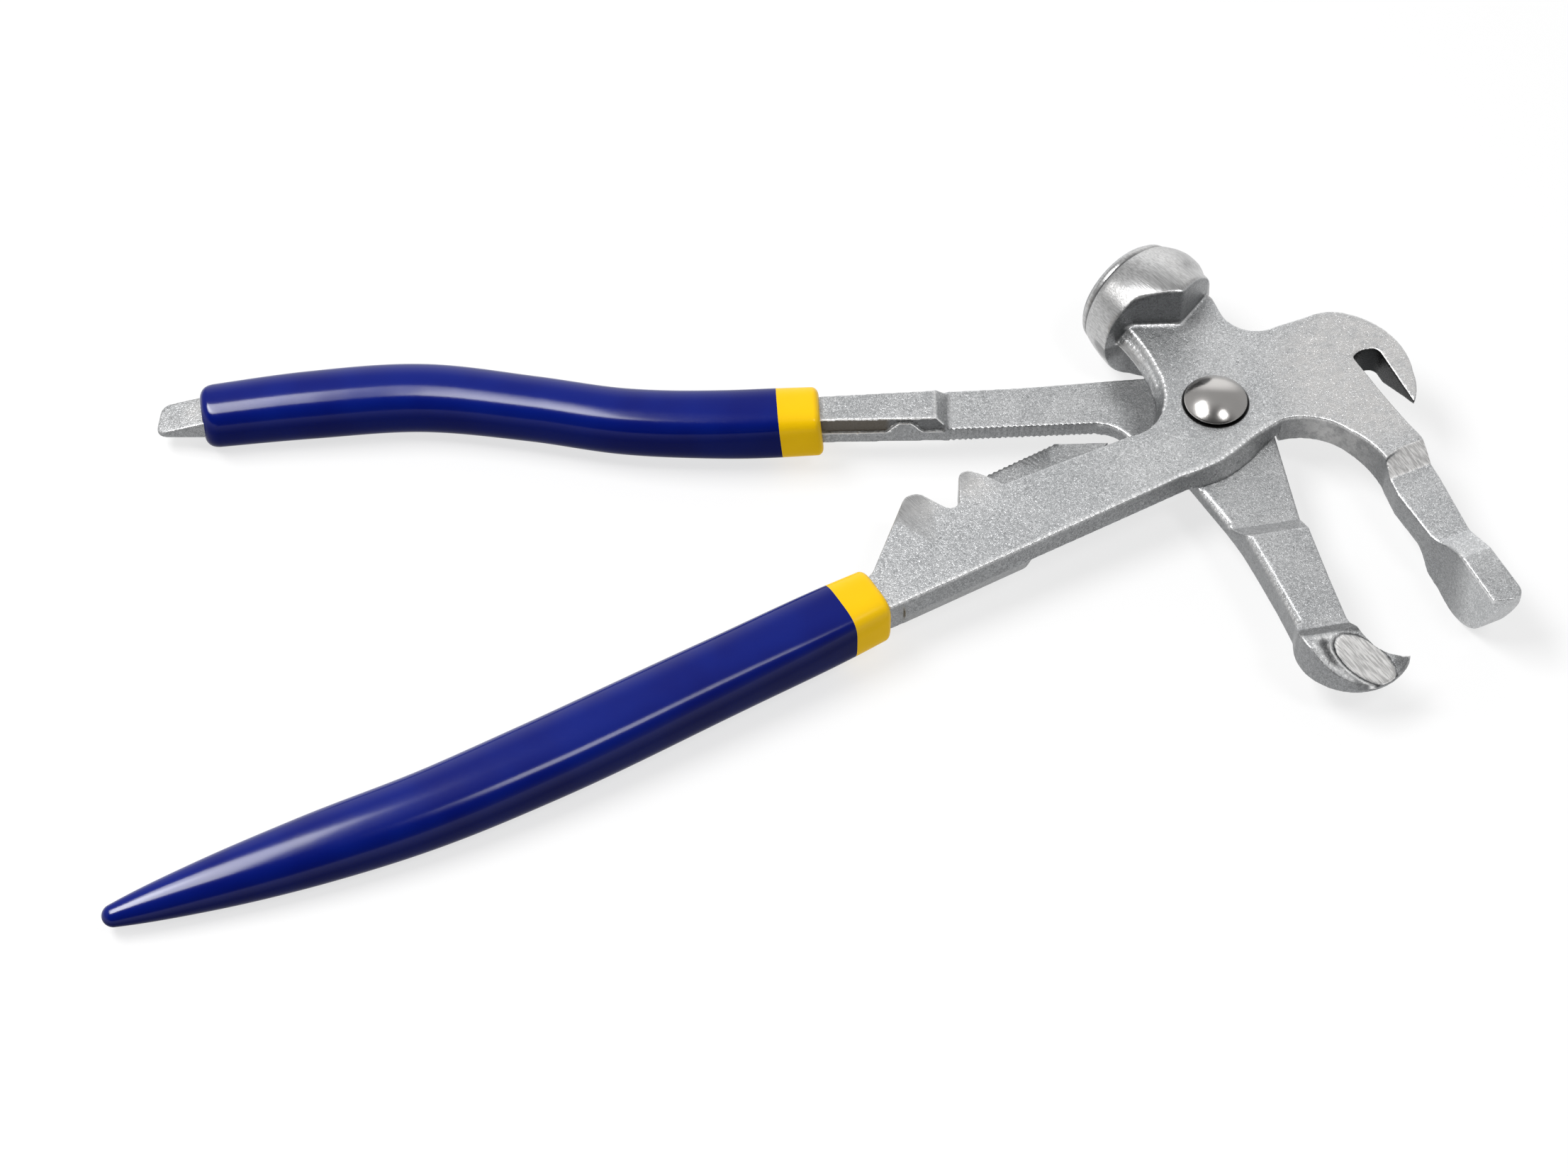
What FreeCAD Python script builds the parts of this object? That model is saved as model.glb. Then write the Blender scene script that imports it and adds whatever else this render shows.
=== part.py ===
import FreeCAD, Part
import math
import os

from FreeCAD import Vector

# Wheel-weight hammer pliers: two forged levers, half-lapped on a domed rivet,
# with a dipped grip and a collar on each handle.  Millimetres.
#
# Frame: the origin is on the rivet's axis, at the rear lever's flat back.  +Z runs along the
# rivet towards its domed head, +X runs from the handle ends towards the jaws, and +Y is the
# hammer's side.  The pliers are drawn partly open, with the hinge at zero.

# --- forging ---
LAYER = 3.5                      # thickness of one half of the lap
FULL = 2 * LAYER                 # thickness of a whole lever
LAP_GAP = 0.06                   # running gap between the lapped faces
FRONT_LAP = LAYER + LAP_GAP / 2  # underside of the front lever over the lap
REAR_LAP = LAYER - LAP_GAP / 2   # top of the rear lever in the lap

# --- rivet and eye ---
RIVET_R = 3.5                    # shank
RIVET_HEAD_R = 6.2
RIVET_DOME = 2.5                 # height of the dome above its rim
RIM_LIFT = 0.35                  # narrow collar that holds the rim off the lever
RIM_WALL = 0.3                   # straight edge of the rim
TAIL_R = 5.0                     # the peened tail fills a countersink, flush with the back
TAIL_DEPTH = 1.2
RUNNING = 0.05                   # radial clearance between the rivet and the rear lever
EYE_R = 10.5                     # rear lever's eye around the rivet
EYE_ROOM = 0.3                   # clearance of the pocket that the eye turns in
ARM_TANGENT = 95.9               # where the arm's upper edge leaves the eye, in degrees
CLAW_TANGENT = 9.5               # where the claw leg's outer edge leaves the eye

# --- hinge limits, which the pocket allows; positive closes the pliers ---
OPEN_LIMIT = -12.0
CLOSE_LIMIT = 7.0

# --- hammer ---
HAMMER_FACE_R = 11.6             # radius behind the face's chamfer
HAMMER_BELLY_R = 12.8            # the barrel swells towards its rear
HAMMER_REAR_R = 12.7
HAMMER_ANGLE = 130.0             # direction that the striking face looks in, from +X
HAMMER_FACE = (-16.8, 32.7)      # centre of the striking face
HAMMER_LENGTH = 19.0             # whole barrel, before the cheeks are cut
FACE_CHAMFER = 1.2
STEP_BACK = 2.2                  # a fine step rings the barrel behind the face
STEP = 0.2

# --- front leg and foot pad ---
LEG_ANGLE = -64.8                # direction of the jaw face in plan
FOOT_TIP = (49.8, -49.1)         # end corner of the jaw face in plan
MID_LEG_BOTTOM = -2.8
FOOT_BOTTOM = -10.7

# --- claw leg ---
CLAW_ANGLE = -79.0               # direction across which the leg's steps run
KNUCKLE_TOP = FULL + 1.6
FLAT_START = (20.0, -57.0)       # the ground flat slopes down from here
FLAT_ANGLE = -54.0               # in this direction
FLAT_SLOPE = 0.66

# --- serrated edges ---
TOOTH_PITCH = 1.15
TOOTH_DEPTH = 0.35

# --- handles ---
STEEL_HALF = 3.4                 # half the width of the steel inside a grip
TANG_BOTTOM = 1.5                # underside of the pry tang


# ------------------------------------------------------------------ helpers

def wire_of(steps, place, closed=True):
    """Wire through steps.  A plain pair is joined by a line, ("arc", middle, end) by an arc."""
    edges = []
    start = here = place(steps[0])
    for step in steps[1:]:
        if step[0] == "arc":
            there = place(step[2])
            edges.append(Part.Arc(here, place(step[1]), there).toShape())
        else:
            there = place(step)
            edges.append(Part.makeLine(here, there))
        here = there
    if closed and here.distanceToPoint(start) > 1e-6:
        edges.append(Part.makeLine(here, start))
    return Part.Wire(edges)


def prism(steps, low, high):
    """Upright block between two heights, from a plan outline."""
    outline = wire_of(steps, lambda p: Vector(p[0], p[1], low))
    return Part.Face(outline).extrude(Vector(0, 0, high - low))


def side_prism(steps, origin, degrees, half_width):
    """Block from a side profile of (along, height); along runs from origin at an angle."""
    along = Vector(*polar(1, degrees), 0)
    across = Vector(-along.y, along.x, 0)
    start = Vector(*origin, 0) - across * half_width
    profile = wire_of(steps, lambda p: start + along * p[0] + Vector(0, 0, p[1]))
    return Part.Face(profile).extrude(across * (2 * half_width))


def polar(radius, degrees):
    """Plan point at a radius and an angle about the rivet."""
    return (radius * math.cos(math.radians(degrees)), radius * math.sin(math.radians(degrees)))


def onward(point, distance, degrees):
    """Plan point a distance away from another, in a direction."""
    step = polar(distance, degrees)
    return (point[0] + step[0], point[1] + step[1])


def saw_teeth(start, end, side):
    """Fine teeth along an edge; they cut in to its left with side 1, to its right with -1."""
    length = math.dist(start, end)
    heading = math.degrees(math.atan2(end[1] - start[1], end[0] - start[0]))
    count = round(length / TOOTH_PITCH)
    points = []
    for i in range(count):
        crest = onward(start, i * length / count, heading)
        valley = onward(crest, length / count / 2, heading)
        points += [crest, onward(valley, TOOTH_DEPTH, heading + 90 * side)]
    return points + [end]


def bevel(start, end, top, width, drop):
    """Wedge that takes the corner off a top edge, inwards to the left of the line start-end."""
    middle = ((start[0] + end[0]) / 2, (start[1] + end[1]) / 2)
    heading = math.degrees(math.atan2(end[1] - start[1], end[0] - start[0]))
    clear = 1.0
    foot = (-clear, top - drop - clear * drop / width)
    wedge = [foot, (width, top), (width, top + clear), (-clear, top + clear)]
    return side_prism(wedge, middle, heading + 90, math.dist(start, end) / 2)


def joined(shapes):
    """Shapes fused one after another into one solid."""
    whole = shapes[0]
    for shape in shapes[1:]:
        whole = whole.fuse(shape)
    return whole.removeSplitter()


def curve_through(points):
    """Smooth plan curve through hand-set points, at the levers' mid-plane."""
    curve = Part.BSplineCurve()
    curve.interpolate([Vector(x, y, LAYER) for x, y in points])
    return curve


def ribbon(curve, first, last, half_first, half_last, stations=9):
    """Plan outline of a strip that follows a curve between two fractions of it."""
    left = []
    right = []
    for i in range(stations):
        t = i / (stations - 1)
        centre, heading = place_on(curve, first + (last - first) * t)
        half = half_first + (half_last - half_first) * t
        left.append(onward((centre.x, centre.y), half, heading + 90))
        right.append(onward((centre.x, centre.y), half, heading - 90))
    return left + right[::-1]


def place_on(curve, fraction):
    """Point and heading at a fraction of a curve's length."""
    length = curve.length()
    parameter = curve.parameterAtDistance(length * fraction, curve.FirstParameter)
    tangent = curve.tangent(parameter)[0]
    return curve.value(parameter), math.degrees(math.atan2(tangent.y, tangent.x))


def section(curve, fraction, half_width, half_height, corner):
    """Rounded upright section of a grip, square to its curve."""
    centre, heading = place_on(curve, fraction)
    across = Vector(*polar(1, heading + 90), 0)
    w = half_width
    h = half_height
    c = corner
    d = c * (1 - math.sqrt(0.5))
    steps = [(-w + c, -h), (w - c, -h), ("arc", (w - d, -h + d), (w, -h + c)),
             (w, h - c), ("arc", (w - d, h - d), (w - c, h)),
             (-w + c, h), ("arc", (-w + d, h - d), (-w, h - c)),
             (-w, -h + c), ("arc", (-w + d, -h + d), (-w + c, -h))]
    return wire_of(steps, lambda p: centre + across * p[0] + Vector(0, 0, p[1]))


# -------------------------------------------------------------- front lever

# The plate from the neck's lower corner, counter-clockwise: arch, leg root, slot, beak, saddle,
# hammer neck and throat.
PLATE = [(-64.4, -50.6), (-7.0, -18.2),
         ("arc", (0.6, -14.2), (6.6, -8.6)),              # neck sweeps up into the arch
         ("arc", (16.0, -3.6), (25.8, -7.0)),
         ("arc", (29.4, -9.9), (32.4, -14.0)),
         (39.5, -8.2),                                    # root of the front leg
         ("arc", (34.8, -0.8), (30.4, 7.2)),
         (28.0, 11.6),                                    # beak slot
         ("arc", (29.3, 13.2), (31.2, 13.8)),
         ("arc", (32.7, 13.7), (33.6, 12.6)),
         (39.0, 0.2),                                     # tip of the beak
         ("arc", (39.9, 4.0), (39.6, 7.9)),
         ("arc", (36.0, 17.5), (25.4, 23.7)),
         ("arc", (22.6, 23.5), (19.5, 22.3)),
         (13.2, 19.8),
         ("arc", (7.2, 18.9), (2.6, 22.9)),               # saddle
         (0.4, 28.9), (-3.0, 31.0), (-14.0, 24.0),        # through the hammer's barrel
         (-16.0, 19.3),
         ("arc", (-12.1, 12.1), (-9.9, 5.7)),             # throat
         ("arc", (-9.7, 1.2), (-10.9, -3.4)),
         ("arc", (-13.4, -6.7), (-17.4, -8.6))]

# The neck's upper edge with its two hook teeth, from the first tooth to the grip.
TOOTH_CORNER = (-50.9, -18.8)
HOOKS = [TOOTH_CORNER, (-50.9, -24.6),
         ("arc", (-51.7, -26.1), (-53.4, -26.3)),
         (-58.0, -23.2),
         ("arc", (-60.4, -23.2), (-62.0, -25.2)),
         (-67.8, -42.0)]

# The lower layer stands out beside the teeth as a serrated ledge.
LEDGE_CORNER = (-31.9, -7.7)
LEDGE_END = (-21.2, -7.2)
SHOULDER_END = (-38.0, -35.7)

FRONT_HANDLE = curve_through([(-67.0, -47.1), (-98.5, -65.6), (-130.0, -84.0), (-150.0, -94.6),
                              (-170.0, -103.3), (-207.4, -118.5)])


def neck_and_plate():
    """Upper layer all over, lower layer clear of the lap pocket."""
    upper_edge = [(-42.2, -20.5), ("arc", (-45.4, -18.5), (-48.4, -17.3)),
                  ("arc", (-50.1, -17.5), TOOTH_CORNER)]
    upper = prism(PLATE + upper_edge + HOOKS[1:], FRONT_LAP, FULL)
    teeth = saw_teeth(LEDGE_CORNER, (-46.8, -16.4), 1)
    lower = prism(PLATE + [LEDGE_END] + teeth + HOOKS, 0, FRONT_LAP)
    return upper.fuse(lower.cut(lap_pocket()))


def skirt(path, flares, low, high, samples=16):
    """Draft of the forging: a strip whose wall leans out from a plan path.

    flares gives how far the wall stands out at the parting height (low), from the path's
    start to its end, on the right-hand side of the path."""
    points = wire_of(path, lambda p: Vector(p[0], p[1], 0), closed=False).discretize(samples)
    inner = []
    edge = []
    outer = []
    for i, point in enumerate(points):
        ahead = points[min(i + 1, samples - 1)] - points[max(i - 1, 0)]
        heading = math.degrees(math.atan2(ahead.y, ahead.x))
        t = i / (samples - 1) * (len(flares) - 1)
        k = min(int(t), len(flares) - 2)
        flare = flares[k] + (flares[k + 1] - flares[k]) * (t - k)
        here = (point.x, point.y)
        inner.append(onward(here, 1.0, heading + 90))
        edge.append(onward(here, 0.02, heading - 90))
        outer.append(onward(here, flare, heading - 90))
    parting = wire_of(inner + outer[::-1], lambda p: Vector(p[0], p[1], low))
    ridge = wire_of(inner + edge[::-1], lambda p: Vector(p[0], p[1], high))
    return Part.makeLoft([parting, ridge], True, True)


def drafts():
    """Leaning walls of the neck's lower edge, of the start of the arch and of the throat."""
    neck = [(-62.0, -49.25), (-7.0, -18.2)]
    arch = [(-7.0, -18.2), ("arc", (0.6, -14.2), (6.6, -8.6)), (12.4, -4.4)]
    throat = [(-16.9, 21.0), (-16.0, 19.3), ("arc", (-12.1, 12.1), (-9.9, 5.7)),
              ("arc", (-9.7, 1.2), (-10.9, -3.4)), ("arc", (-13.4, -6.7), (-17.4, -8.6))]
    shoulder = [(-62.0, -49.25), (-38.4, -35.95)]
    return [skirt(neck, (1.0, 1.3, 1.5), FRONT_LAP, FULL, 4),
            skirt(arch, (1.5, 2.4, 2.2, 0.6), FRONT_LAP, FULL),
            skirt(throat, (3.0, 2.6, 2.3, 1.4, 0.3), FRONT_LAP, FULL),
            skirt(shoulder, (1.0, 1.1), FRONT_LAP, 0, 3)]


def lap_pocket():
    """Space under the plate where the rear lever's arm, eye and claw leg turn."""
    room = EYE_R + EYE_ROOM
    arm_turn = ARM_TANGENT + OPEN_LIMIT
    claw_turn = CLAW_TANGENT + CLOSE_LIMIT
    arm_start = polar(room, arm_turn)
    claw_start = polar(room, claw_turn)
    claw_end = onward(claw_start, 24, claw_turn - 90)
    far_below = -60.0
    outline = [LEDGE_END, SHOULDER_END, (SHOULDER_END[0], far_below), (claw_end[0], far_below),
               claw_end, claw_start,
               ("arc", polar(room, (arm_turn + claw_turn) / 2), arm_start),
               onward(arm_start, 34, arm_turn + 90), (LEDGE_END[0] - 11, 0), (LEDGE_END[0], 0)]
    return prism(outline, -1, FRONT_LAP)


def hammer():
    """Striking head: a swelling barrel turned about its own axis, cut by upright cheeks."""
    face = Vector(*HAMMER_FACE, LAYER)
    back = Vector(*polar(-1, HAMMER_ANGLE), 0)
    profile = [(0, 0), (HAMMER_FACE_R - FACE_CHAMFER, 0), (HAMMER_FACE_R, FACE_CHAMFER),
               (HAMMER_FACE_R, STEP_BACK), (HAMMER_FACE_R + STEP, STEP_BACK),
               ("arc", (HAMMER_BELLY_R, 6.0), (HAMMER_REAR_R, HAMMER_LENGTH)), (0, HAMMER_LENGTH)]
    outline = wire_of(profile, lambda p: face + Vector(0, 0, p[0]) + back * p[1])
    barrel = Part.Face(outline).revolve(face, back, 360)
    cheeks = [(-40, 20), (-21.5, 16.4), (-15.1, 20.0), (-5.8, 20.3), (0.6, 29.0), (7, 50), (-40, 50)]
    return barrel.common(prism(cheeks, -12, 20))


def front_leg():
    """Cranked leg that drops from the arch, then the upright foot pad."""
    plan = [(25.8, -7.0), ("arc", (29.4, -9.9), (32.4, -14.0)), (34.4, -20.4), (39.8, -30.6),
            (42.5, -33.6), FOOT_TIP, (52.9, -48.7),
            ("arc", (55.1, -47.6), (55.2, -45.6)),
            (50.4, -35.8), (47.4, -28.4), (43.1, -16.2), (40.7, -10.4), (39.5, -8.2), (34.0, -2.0)]
    profile = [(-52.0, 0), (-52.0, FULL), (-40.3, FULL), (-36.4, LAYER), (-19.1, LAYER),
               (-11.6, FULL), (1.2, FULL), (0.4, LAYER), (-2.2, -3.2),
               ("arc", (-5.2, -8.0), (-11.2, FOOT_BOTTOM)),
               ("arc", (-16.8, -9.7), (-20.4, -7.2)),
               ("arc", (-21.8, -4.7), (-24.5, MID_LEG_BOTTOM)),
               (-38.0, MID_LEG_BOTTOM), (-49.0, 0)]
    leg = prism(plan, -14, 8).common(side_prism(profile, FOOT_TIP, LEG_ANGLE, 24))
    pad_back = [(7.2, 1.0), (9.0, 1.0), (9.0, -13.0), (3.6, -13.0), (4.9, -8.0)]
    return leg.cut(side_prism(pad_back, FOOT_TIP, LEG_ANGLE + 90, 18))


def beak_relief():
    """Wedge cut away under the beak, so that the beak thins from its root to its tip."""
    rise = [(0, -1), (15.0, -1), (15.0, FULL), (11.5, FULL - 0.9), (0, 0)]
    wedge = side_prism(rise, (35.6, 11.2), -72.0, 6.0)
    body_side = prism([(20, 20), (28.0, 11.6), (30.4, 7.2), (39.8, -8.6), (20, -8.6)], -2, 9)
    return wedge.cut(body_side)


def front_lever():
    """The whole front forging, with the steel that runs inside its grip."""
    inside = ribbon(FRONT_HANDLE, 0.0, 0.74, 4.0, STEEL_HALF)
    bridge = prism([inside[0], PLATE[0], (-62.0, -45.0), HOOKS[-1], inside[-1]], 0, FULL)
    plate = neck_and_plate().cut(beak_relief())
    shape = joined([plate, front_leg(), hammer(), bridge, prism(inside, 0, FULL)] + drafts())
    return shape.cut(Part.makeCylinder(RIVET_R, FULL + 4, Vector(0, 0, -2)))


# --------------------------------------------------------------- rear lever

REAR_HANDLE = curve_through([(-77.4, -1.9), (-97.0, -2.8), (-116.0, -2.0), (-134.0, 1.2),
                             (-156.0, 4.0), (-178.0, 2.2), (-199.0, -0.9)])

# Arm and eye at the height of the lap, from the serrated edge clockwise over the eye.
CLAW_LEFT = [(3.6, -32.6), (1.1, -27.9), (-5.5, -16.8), (-17.2, -5.6),
             ("arc", (-19.6, -3.5), (-23.0, -2.5))]
ARM_STEP_LOW = (-52.3, -4.1)
ARM_STEP_HIGH = (-52.5, 5.8)


def arm_and_eye():
    """Lap layer: arm with its serrated edge, eye, and the root of the claw leg."""
    teeth = saw_teeth((-23.0, -2.5), ARM_STEP_LOW, -1)
    outline = [ARM_STEP_HIGH, (-38.3, 6.7), polar(EYE_R, ARM_TANGENT),
               ("arc", polar(EYE_R, (ARM_TANGENT + CLAW_TANGENT) / 2), polar(EYE_R, CLAW_TANGENT)),
               (15.0, -26.1), (16.4, -32.6)] + CLAW_LEFT + teeth[1:] + [(-56.0, -4.2), (-57.0, 3.0)]
    return prism(outline, 0, REAR_LAP)


def shank():
    """Full-thickness shank between the arm and the collar, with a ramp down to the lap."""
    plan = [(-92.0, -5.0), (-57.6, -4.2), (-51.6, -4.0), (-51.6, 5.7), (-55.4, 3.1), (-92.0, 0.6)]
    profile = [(-92.0, 0), (-92.0, FULL), (-54.9, FULL), (-52.3, REAR_LAP), (-52.3, 0)]
    return prism(plan, -1, 9).common(side_prism(profile, (0, 0), 0, 12))


def claw_leg():
    """Leg that steps up to full thickness, the raised knuckle, and the ground claw."""
    plan = [(11.4, -7.5), (15.0, -26.1), (16.4, -32.6), (19.2, -43.9), (21.6, -52.9),
            ("arc", (26.5, -58.0), (33.8, -58.5)),
            ("arc", (25.6, -65.4), (16.7, -63.8)),
            ("arc", (13.0, -60.0), (11.9, -54.1)),
            (9.6, -47.5), (6.4, -39.3), (3.6, -32.6), (1.1, -27.9), (-5.5, -16.8)]
    profile = [(22.0, 0), (22.0, REAR_LAP), (28.8, REAR_LAP), (33.6, FULL), (57.2, FULL),
               (60.0, KNUCKLE_TOP), (75.0, KNUCKLE_TOP), (75.0, 0)]
    drop = 25.0
    flat = [(-90.0, -1), (-90.0, KNUCKLE_TOP + 1), (0, KNUCKLE_TOP + 1), (0, KNUCKLE_TOP),
            (drop, KNUCKLE_TOP - drop * FLAT_SLOPE), (drop, -9)]
    leg = prism(plan, -1, 11).common(side_prism(profile, (0, 0), CLAW_ANGLE, 40))
    return leg.common(side_prism(flat, FLAT_START, FLAT_ANGLE, 60))


def pry_tang():
    """Flat wedge at the end of the rear handle."""
    plan = [(-186.0, -4.6), (-206.0, -4.6), ("arc", (-207.5, -4.0), (-207.9, -2.4)),
            (-207.6, 1.0), ("arc", (-207.0, 2.1), (-205.0, 2.6)), (-197.0, 2.9), (-186.0, 2.9)]
    profile = [(-186.0, TANG_BOTTOM), (-186.0, 5.9), (-198.0, 5.9), (-210.0, 2.0),
               (-210.0, TANG_BOTTOM)]
    return prism(plan, 0, FULL).common(side_prism(profile, (0, 0), 0, 8))


def rear_lever():
    """The whole rear forging, with its rivet hole and the countersink for the tail."""
    inside = prism(ribbon(REAR_HANDLE, 0.06, 0.92, STEEL_HALF, STEEL_HALF), 0.4, FULL - 0.4)
    shape = joined([arm_and_eye(), shank(), claw_leg(), inside, pry_tang()])
    shape = shape.cut(bevel((-3.8, -19.66), (1.1, -27.9), REAR_LAP, 0.8, 0.9))
    shape = shape.cut(bevel((3.6, -33.4), (11.9, -54.4), FULL, 1.3, 1.5))
    hole = Part.makeCylinder(RIVET_R + RUNNING, FULL + 4, Vector(0, 0, -2))
    sink = Part.makeCone(TAIL_R + RUNNING, RIVET_R + RUNNING, TAIL_DEPTH)
    return shape.cut(hole).cut(sink)


# -------------------------------------------------------------------- rivet

def pivot_rivet():
    """Domed head on a narrow collar, shank, and a flush tail in the countersink."""
    rim = FULL + RIM_LIFT
    dome_r = (RIVET_HEAD_R ** 2 + RIVET_DOME ** 2) / (2 * RIVET_DOME)
    top = rim + RIM_WALL + RIVET_DOME
    bend = math.asin(RIVET_HEAD_R / dome_r) / 2
    half_way = (dome_r * math.sin(bend), top - dome_r * (1 - math.cos(bend)))
    profile = [(0, 0), (TAIL_R, 0), (RIVET_R, TAIL_DEPTH), (RIVET_R, FULL),
               (RIVET_HEAD_R - 0.5, FULL), (RIVET_HEAD_R - 0.5, rim), (RIVET_HEAD_R, rim),
               (RIVET_HEAD_R, rim + RIM_WALL), ("arc", half_way, (0, top))]
    outline = wire_of(profile, lambda p: Vector(p[0], 0, p[1]))
    return Part.Face(outline).revolve(Vector(0, 0, 0), Vector(0, 0, 1), 360)


# -------------------------------------------------------------------- grips

# Sizes along each handle: fraction of its curve, half width, half height, corner radius.
FRONT_SIZES = [(0.0, 6.0, 5.9, 2.6), (0.052, 6.4, 6.1, 3.2), (0.2, 6.8, 6.4, 4.2),
               (0.4, 7.1, 6.5, 4.6), (0.58, 7.0, 6.4, 4.7), (0.76, 6.2, 5.7, 4.6),
               (0.88, 4.7, 4.4, 3.9), (0.97, 2.9, 2.8, 2.5), (1.0, 1.2, 1.3, 1.0)]
REAR_SIZES = [(0.0, 5.5, 5.7, 2.6), (0.067, 5.7, 5.9, 3.2), (0.25, 5.9, 6.0, 3.8),
              (0.45, 5.9, 6.0, 3.9), (0.65, 6.2, 6.2, 4.1), (0.82, 6.2, 6.1, 4.1),
              (0.97, 5.5, 5.5, 3.9), (1.0, 4.2, 4.3, 3.2)]
FRONT_COLLAR_END = 0.052
REAR_COLLAR_END = 0.067


def size_at(sizes, fraction):
    """Half width, half height and corner radius, by straight lines between the set sizes."""
    for low, high in zip(sizes, sizes[1:]):
        if fraction <= high[0]:
            t = (fraction - low[0]) / (high[0] - low[0])
            return [a + (b - a) * t for a, b in zip(low[1:], high[1:])]
    return sizes[-1][1:]


def sleeve(curve, sizes, first, last, steel, spans):
    """Skin over the steel of a handle, between two fractions of its curve."""
    fractions = [first + (last - first) * i / spans for i in range(spans + 1)]
    sections = [section(curve, f, *size_at(sizes, f)) for f in fractions]
    return Part.makeLoft(sections, True, True).cut(steel)


# ------------------------------------------------------------------- output

def main():
    os.makedirs("parts", exist_ok=True)
    front = front_lever()
    rear = rear_lever()
    nodes = {
        "front_lever": front,
        "rear_lever": rear,
        "pivot_rivet": pivot_rivet(),
        "front_collar": sleeve(FRONT_HANDLE, FRONT_SIZES, 0, FRONT_COLLAR_END, front, 2),
        "front_grip": sleeve(FRONT_HANDLE, FRONT_SIZES, FRONT_COLLAR_END, 1, front, 32),
        "rear_collar": sleeve(REAR_HANDLE, REAR_SIZES, 0, REAR_COLLAR_END, rear, 2),
        "rear_grip": sleeve(REAR_HANDLE, REAR_SIZES, REAR_COLLAR_END, 1, rear, 28),
    }
    for name, shape in nodes.items():
        if shape.ShapeType == "Compound" and len(shape.Solids) == 1:
            shape = shape.Solids[0]
        shape.exportStep(os.path.join("parts", name + ".step"))
        box = shape.BoundBox
        print(f"{name:13s} solids {len(shape.Solids)} valid {shape.isValid()} "
              f"volume {shape.Volume:8.1f} z {box.ZMin:.2f} {box.ZMax:.2f}")


main()
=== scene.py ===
import math

import bmesh
import bpy
import numpy as np
from mathutils import Matrix, Vector


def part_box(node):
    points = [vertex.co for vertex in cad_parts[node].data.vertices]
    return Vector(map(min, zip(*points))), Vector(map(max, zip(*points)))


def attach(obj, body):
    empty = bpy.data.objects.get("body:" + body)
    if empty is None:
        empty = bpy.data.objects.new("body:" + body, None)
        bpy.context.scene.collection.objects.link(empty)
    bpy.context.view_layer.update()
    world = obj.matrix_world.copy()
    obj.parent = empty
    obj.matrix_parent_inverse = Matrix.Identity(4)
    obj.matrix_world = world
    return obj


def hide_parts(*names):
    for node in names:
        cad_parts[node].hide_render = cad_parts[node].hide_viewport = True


# Wheel-weight hammer pliers.  Shapes are worked out in millimetres, in the CAD frame: the rivet's
# axis is the origin, +X runs to the jaws, +Y to the hammer, and the plates lie between z 0 and 7.
# A mask is a number from 0 to 1 at each point of a skin; step() limits it to a place, in mm, or
# to the parts of the surface that face a way.

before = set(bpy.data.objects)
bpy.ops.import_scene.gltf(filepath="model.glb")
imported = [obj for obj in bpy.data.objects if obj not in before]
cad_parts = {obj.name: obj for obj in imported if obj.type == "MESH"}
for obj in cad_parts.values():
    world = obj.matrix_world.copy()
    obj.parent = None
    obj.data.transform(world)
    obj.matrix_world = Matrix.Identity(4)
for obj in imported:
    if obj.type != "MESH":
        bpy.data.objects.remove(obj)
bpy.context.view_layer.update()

MM = 0.001
LAYER = 3.5                       # height of the parting plane
FULL = 7.0                        # top of the plates
VOXEL = 0.2
STEEL_FACES = 110000              # about what each lever keeps after thinning
# masks painted on the skins: two lay painted shade, on dark places and on upright sides; edge and
# flash brighten partly as painted highlight; the grinding mask also holds painted highlight strips
# on the barrel
MASKS = ("edge", "flash", "barrel", "hollow", "ground", "tan", "wall")


def placed(name, data):
    """A new object in the scene."""
    thing = bpy.data.objects.new(name, data)
    bpy.context.scene.collection.objects.link(thing)
    return thing


def stand_in(piece, body, node):
    """Hangs a finished piece on the body that carries it, and hides the CAD node it replaces."""
    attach(piece, body)
    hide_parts(node)


# ------------------------------------------------------------------ skins

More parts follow.
